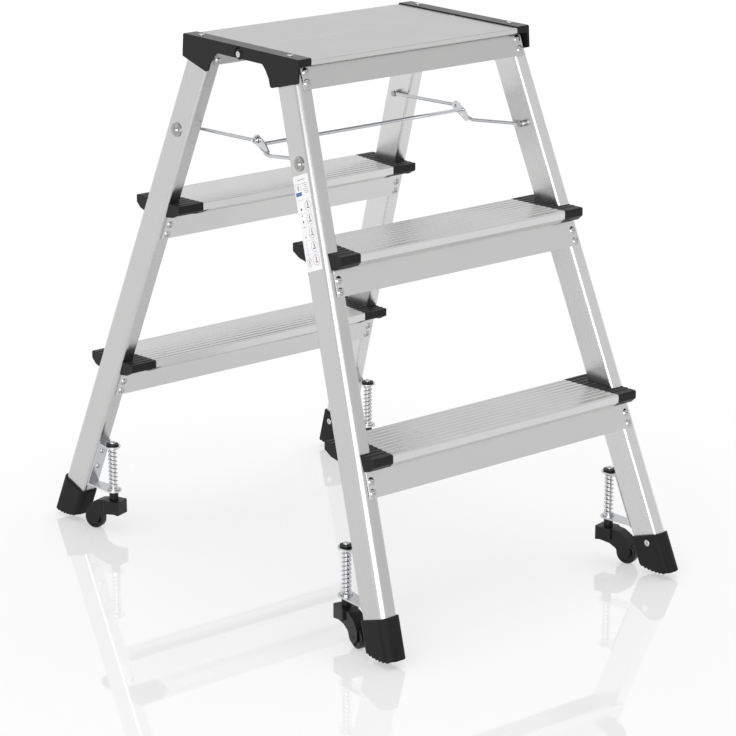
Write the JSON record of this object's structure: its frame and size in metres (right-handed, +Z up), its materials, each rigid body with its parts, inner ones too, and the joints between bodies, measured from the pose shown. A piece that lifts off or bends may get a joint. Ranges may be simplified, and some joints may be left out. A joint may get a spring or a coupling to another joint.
{
  "type": "rolling double-sided step ladder",
  "caption": "Double-sided folding step ladder with ribbed treads, a split standing platform, a folding wire brace and sprung castors beside its rubber-soled feet.",
  "frame": {"origin": "on the floor, centred under the platform, with the castors standing on z = 0", "axes": "+Z up, +X along the treads towards the right stiles, -Y towards the front ladder and +Y towards the rear ladder"},
  "size_m": [0.5042, 0.7388, 0.7118],
  "materials": {
    "anodised_aluminium": "satin anodised",
    "aluminium_rivet": "bright pressed",
    "black_plastic": "fine moulded grain",
    "black_fork": "satin moulded",
    "black_wheel": "smooth hard wheel",
    "zinc_steel": "bright zinc plated"
  },
  "bodies": {
    "front_frame": {"front_platform": "anodised_aluminium", "front_rivets": "aluminium_rivet", "front_screws": "zinc_steel", "front_brace_pins": "zinc_steel", "front_upper_step": "anodised_aluminium", "front_upper_left_cap": "black_plastic", "front_upper_right_cap": "black_plastic", "front_lower_step": "anodised_aluminium", "front_lower_left_cap": "black_plastic", "front_lower_right_cap": "black_plastic", "front_left_stile": "anodised_aluminium", "front_left_platform_cap": "black_plastic", "front_left_foot": "black_plastic", "front_left_bracket": "zinc_steel", "front_right_stile": "anodised_aluminium", "front_right_platform_cap": "black_plastic", "front_right_foot": "black_plastic", "front_right_bracket": "zinc_steel", "hinge_pins": "zinc_steel"},
    "rear_frame": {"rear_platform": "anodised_aluminium", "rear_rivets": "aluminium_rivet", "rear_screws": "zinc_steel", "rear_brace_pins": "zinc_steel", "rear_upper_step": "anodised_aluminium", "rear_upper_left_cap": "black_plastic", "rear_upper_right_cap": "black_plastic", "rear_lower_step": "anodised_aluminium", "rear_lower_left_cap": "black_plastic", "rear_lower_right_cap": "black_plastic", "rear_left_stile": "anodised_aluminium", "rear_left_platform_cap": "black_plastic", "rear_left_foot": "black_plastic", "rear_left_bracket": "zinc_steel", "rear_right_stile": "anodised_aluminium", "rear_right_platform_cap": "black_plastic", "rear_right_foot": "black_plastic", "rear_right_bracket": "zinc_steel"},
    "front_brace": {"front_left_brace": "zinc_steel", "front_right_brace": "zinc_steel", "brace_cross_rod": "zinc_steel"},
    "rear_left_brace": {"rear_left_brace": "zinc_steel"},
    "rear_right_brace": {"rear_right_brace": "zinc_steel"},
    "front_left_castor_stem": {"front_left_castor_stem": "zinc_steel", "front_left_castor_spring": "zinc_steel"},
    "front_left_castor_fork": {"front_left_castor_fork": "black_fork"},
    "front_left_castor_wheel": {"front_left_castor_wheel": "black_wheel"},
    "front_right_castor_stem": {"front_right_castor_stem": "zinc_steel", "front_right_castor_spring": "zinc_steel"},
    "front_right_castor_fork": {"front_right_castor_fork": "black_fork"},
    "front_right_castor_wheel": {"front_right_castor_wheel": "black_wheel"},
    "rear_left_castor_stem": {"rear_left_castor_stem": "zinc_steel", "rear_left_castor_spring": "zinc_steel"},
    "rear_left_castor_fork": {"rear_left_castor_fork": "black_fork"},
    "rear_left_castor_wheel": {"rear_left_castor_wheel": "black_wheel"},
    "rear_right_castor_stem": {"rear_right_castor_stem": "zinc_steel", "rear_right_castor_spring": "zinc_steel"},
    "rear_right_castor_fork": {"rear_right_castor_fork": "black_fork"},
    "rear_right_castor_wheel": {"rear_right_castor_wheel": "black_wheel"}
  },
  "joints": [
    {"name": "fold", "type": "hinge", "parent": "front_frame", "child": "rear_frame", "pos_m": [0, 0, 0.6998], "axis": [-1, 0, 0], "range_deg": [0, 32]},
    {"name": "front_brace_fold", "type": "hinge", "parent": "front_frame", "child": "front_brace", "pos_m": [0, -0.129, 0.5827], "axis": [1, 0, 0], "range_deg": [0, 28.26]},
    {"name": "rear_left_brace_fold", "type": "hinge", "parent": "rear_frame", "child": "rear_left_brace", "pos_m": [-0.1714, 0.129, 0.5827], "axis": [-1, 0, 0], "range_deg": [0, 24.88]},
    {"name": "rear_right_brace_fold", "type": "hinge", "parent": "rear_frame", "child": "rear_right_brace", "pos_m": [0.1714, 0.129, 0.5827], "axis": [-1, 0, 0], "range_deg": [0, 24.88]},
    {"name": "front_left_castor_spring", "type": "slide", "parent": "front_frame", "child": "front_left_castor_stem", "axis": [0, 0, 1], "range_m": [0, 0.01], "stiffness_N_per_m": 3000, "springref_m": -0.02, "deforming": ["front_left_castor_spring"]},
    {"name": "front_left_castor_swivel", "type": "hinge", "parent": "front_left_castor_stem", "child": "front_left_castor_fork", "pos_m": [-0.2265, -0.2545, 0.04], "axis": [0, 0, 1], "continuous": true},
    {"name": "front_left_castor_roll", "type": "hinge", "parent": "front_left_castor_fork", "child": "front_left_castor_wheel", "pos_m": [-0.23197, -0.28552, 0.015], "axis": [-0.9848, 0.1736, 0], "continuous": true},
    {"name": "front_right_castor_spring", "type": "slide", "parent": "front_frame", "child": "front_right_castor_stem", "axis": [0, 0, 1], "range_m": [0, 0.01], "stiffness_N_per_m": 3000, "springref_m": -0.02, "deforming": ["front_right_castor_spring"]},
    {"name": "front_right_castor_swivel", "type": "hinge", "parent": "front_right_castor_stem", "child": "front_right_castor_fork", "pos_m": [0.2265, -0.2545, 0.04], "axis": [0, 0, 1], "continuous": true},
    {"name": "front_right_castor_roll", "type": "hinge", "parent": "front_right_castor_fork", "child": "front_right_castor_wheel", "pos_m": [0.23305, -0.28531, 0.015], "axis": [0.9781, 0.2079, 0], "continuous": true},
    {"name": "rear_left_castor_spring", "type": "slide", "parent": "rear_frame", "child": "rear_left_castor_stem", "axis": [0, 0, 1], "range_m": [0, 0.01], "stiffness_N_per_m": 3000, "springref_m": -0.02, "deforming": ["rear_left_castor_spring"]},
    {"name": "rear_left_castor_swivel", "type": "hinge", "parent": "rear_left_castor_stem", "child": "rear_left_castor_fork", "pos_m": [-0.2265, 0.2545, 0.04], "axis": [0, 0, 1], "continuous": true},
    {"name": "rear_left_castor_roll", "type": "hinge", "parent": "rear_left_castor_fork", "child": "rear_left_castor_wheel", "pos_m": [-0.23727, 0.2841, 0.015], "axis": [-0.9397, -0.342, 0], "continuous": true},
    {"name": "rear_right_castor_spring", "type": "slide", "parent": "rear_frame", "child": "rear_right_castor_stem", "axis": [0, 0, 1], "range_m": [0, 0.01], "stiffness_N_per_m": 3000, "springref_m": -0.02, "deforming": ["rear_right_castor_spring"]},
    {"name": "rear_right_castor_swivel", "type": "hinge", "parent": "rear_right_castor_stem", "child": "rear_right_castor_fork", "pos_m": [0.2265, 0.2545, 0.04], "axis": [0, 0, 1], "continuous": true},
    {"name": "rear_right_castor_roll", "type": "hinge", "parent": "rear_right_castor_fork", "child": "rear_right_castor_wheel", "pos_m": [0.23305, 0.28531, 0.015], "axis": [0.9781, -0.2079, 0], "continuous": true}
  ],
  "couplings": [
    {"joint": "front_brace_fold", "follows": "fold", "ratio": 0.8832},
    {"joint": "rear_left_brace_fold", "follows": "fold", "ratio": 0.7775},
    {"joint": "rear_right_brace_fold", "follows": "fold", "ratio": 0.7775}
  ]
}
